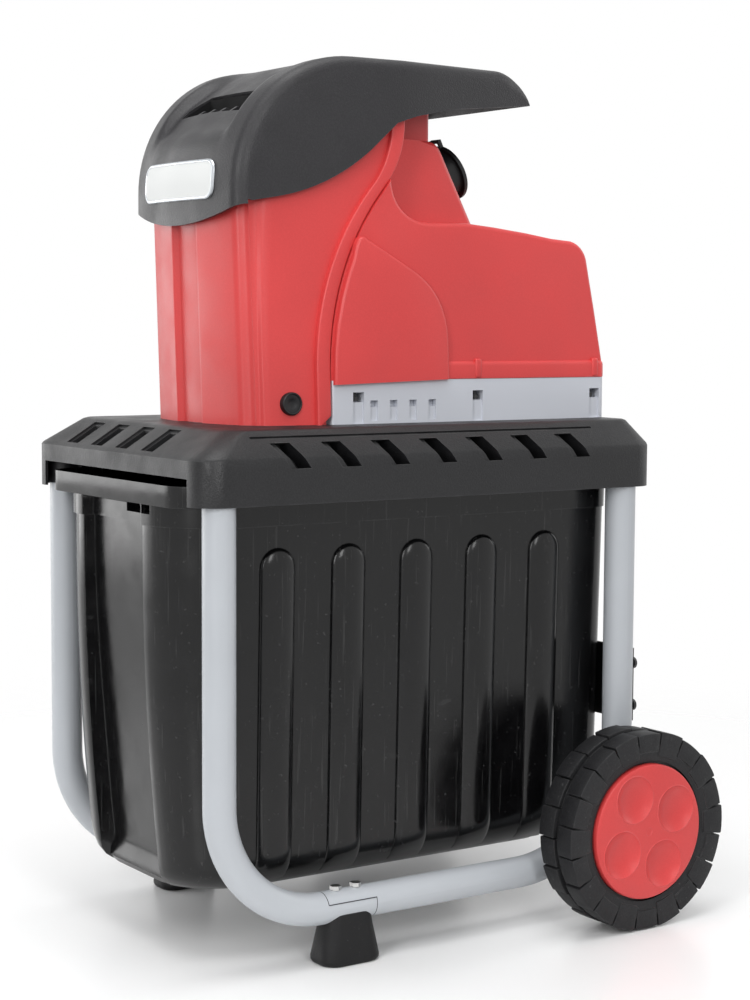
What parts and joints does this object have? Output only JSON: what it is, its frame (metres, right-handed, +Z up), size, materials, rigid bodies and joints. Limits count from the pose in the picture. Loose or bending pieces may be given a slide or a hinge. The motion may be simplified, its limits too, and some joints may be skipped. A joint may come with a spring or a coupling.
{
  "type": "garden shredder",
  "caption": "Electric garden shredder on a wheeled tube frame, with a red feed hopper and motor cover, a dark hood with a feed opening, a geared cutter roller and a pull-out collection box.",
  "frame": {"origin": "on the floor, in the middle of the machine's length and width", "axes": "+Z up, the collection box pulls out towards -Y, the wheels and the hand grip are at +Y, +X is the side with the adjuster plug"},
  "size_m": [0.486, 0.57, 0.8569],
  "materials": {
    "tube_paint": "satin light grey",
    "foot_rubber": "matt black",
    "steel": "bright zinc",
    "tool_steel": "ground",
    "brace_paint": "satin black",
    "tyre": "matt black",
    "wheel_plastic": "matt black",
    "red_plastic": "satin red",
    "deck_plastic": "fine grain, near black",
    "box_plastic": "glossy black",
    "rail_plastic": "matt black",
    "base_plastic": "satin light grey",
    "hood_plastic": "fine grain, dark grey",
    "badge_white": "smooth white, bare",
    "cast_alloy": "as cast",
    "bronze": "sintered",
    "winding_copper": "lacquered wire",
    "black_plastic": "satin black",
    "green_plastic": "smooth green",
    "stop_plastic": "smooth red"
  },
  "bodies": {
    "machine": {"left_front_tube": "tube_paint", "right_front_tube": "tube_paint", "left_rear_tube": "tube_paint", "right_rear_tube": "tube_paint", "left_foot": "foot_rubber", "right_foot": "foot_rubber", "foot_bolts": "steel", "brace_screws": "steel", "axle": "steel", "axle_clips": "steel", "deck_screws": "steel", "case_screws": "steel", "hood_screws": "steel", "motor_bolts": "steel", "inlet_pins": "steel", "stator": "steel", "rear_brace": "brace_paint", "axle_spacers": "wheel_plastic", "motor_cover": "red_plastic", "hopper_shell": "red_plastic", "deck": "deck_plastic", "box_rails": "rail_plastic", "feed_chute": "rail_plastic", "motor_base": "base_plastic", "capacitor": "base_plastic", "hood": "hood_plastic", "badge_plate": "badge_white", "cutter_frame": "cast_alloy", "gearbox_housing": "cast_alloy", "gearbox_cover": "cast_alloy", "end_shield": "cast_alloy", "shaft_bushes": "bronze", "windings": "winding_copper", "inlet_collar": "black_plastic", "switch_panel": "black_plastic", "safety_switch": "black_plastic"},
    "box": {"collection_box": "box_plastic"},
    "left_wheel": {"left_tyre": "tyre", "left_wheel_core": "wheel_plastic", "left_hub_cap": "red_plastic"},
    "right_wheel": {"right_tyre": "tyre", "right_wheel_core": "wheel_plastic", "right_hub_cap": "red_plastic"},
    "roller": {"cutter_roller": "tool_steel", "roller_shaft": "tool_steel", "output_gear": "tool_steel"},
    "layshaft_set": {"layshaft": "tool_steel", "layshaft_gear": "tool_steel"},
    "rotor": {"motor_shaft": "steel", "rotor_core": "steel", "cooling_fan": "rail_plastic"},
    "counter": {"counter_plate": "cast_alloy"},
    "adjuster": {"adjuster_screw": "black_plastic"},
    "start": {"start_button": "green_plastic"},
    "stop": {"stop_button": "stop_plastic"},
    "reset": {"reset_button": "black_plastic"},
    "direction": {"direction_knob": "black_plastic"},
    "plunger": {"safety_plunger": "black_plastic"}
  },
  "joints": [
    {"name": "box_slide", "type": "slide", "parent": "machine", "child": "box", "axis": [0, -1, 0], "range_m": [0, 0.42]},
    {"name": "left_wheel_spin", "type": "hinge", "parent": "machine", "child": "left_wheel", "pos_m": [-0.218, 0.185, 0.1], "axis": [1, 0, 0], "continuous": true},
    {"name": "right_wheel_spin", "type": "hinge", "parent": "machine", "child": "right_wheel", "pos_m": [0.218, 0.185, 0.1], "axis": [1, 0, 0], "continuous": true},
    {"name": "roller_spin", "type": "hinge", "parent": "machine", "child": "roller", "pos_m": [0, -0.1485, 0.552], "axis": [0, 1, 0], "continuous": true},
    {"name": "layshaft_spin", "type": "hinge", "parent": "machine", "child": "layshaft_set", "pos_m": [0.02062, -0.1485, 0.592], "axis": [0, 1, 0], "continuous": true},
    {"name": "rotor_spin", "type": "hinge", "parent": "machine", "child": "rotor", "pos_m": [0, -0.1485, 0.632], "axis": [0, 1, 0], "continuous": true},
    {"name": "adjuster_turn", "type": "hinge", "parent": "machine", "child": "adjuster", "pos_m": [0.1, -0.1485, 0.5275], "axis": [1, 0, 0], "range_deg": [-249, 733]},
    {"name": "counter_slide", "type": "slide", "parent": "machine", "child": "counter", "axis": [1, 0, 0], "range_m": [-0.001, 0.003]},
    {"name": "start_press", "type": "slide", "parent": "machine", "child": "start", "axis": [0, -0.8988, -0.4384], "range_m": [0, 0.003], "stiffness_N_per_m": 300},
    {"name": "stop_press", "type": "slide", "parent": "machine", "child": "stop", "axis": [0, -0.8988, -0.4384], "range_m": [0, 0.003], "stiffness_N_per_m": 300},
    {"name": "reset_press", "type": "slide", "parent": "machine", "child": "reset", "axis": [0, -0.8988, -0.4384], "range_m": [0, 0.002], "stiffness_N_per_m": 300},
    {"name": "direction_turn", "type": "hinge", "parent": "machine", "child": "direction", "pos_m": [-0.036, 0.06254, 0.72043], "axis": [0, 0.8988, 0.4384], "range_deg": [-45, 45]},
    {"name": "plunger_slide", "type": "slide", "parent": "machine", "child": "plunger", "axis": [0, 0, 1], "range_m": [0, 0.004], "stiffness_N_per_m": 200}
  ],
  "couplings": [
    {"joint": "layshaft_spin", "follows": "roller_spin", "ratio": -5},
    {"joint": "rotor_spin", "follows": "roller_spin", "ratio": 25},
    {"joint": "adjuster_turn", "follows": "counter_slide", "rad_per_m": 4188.8}
  ]
}
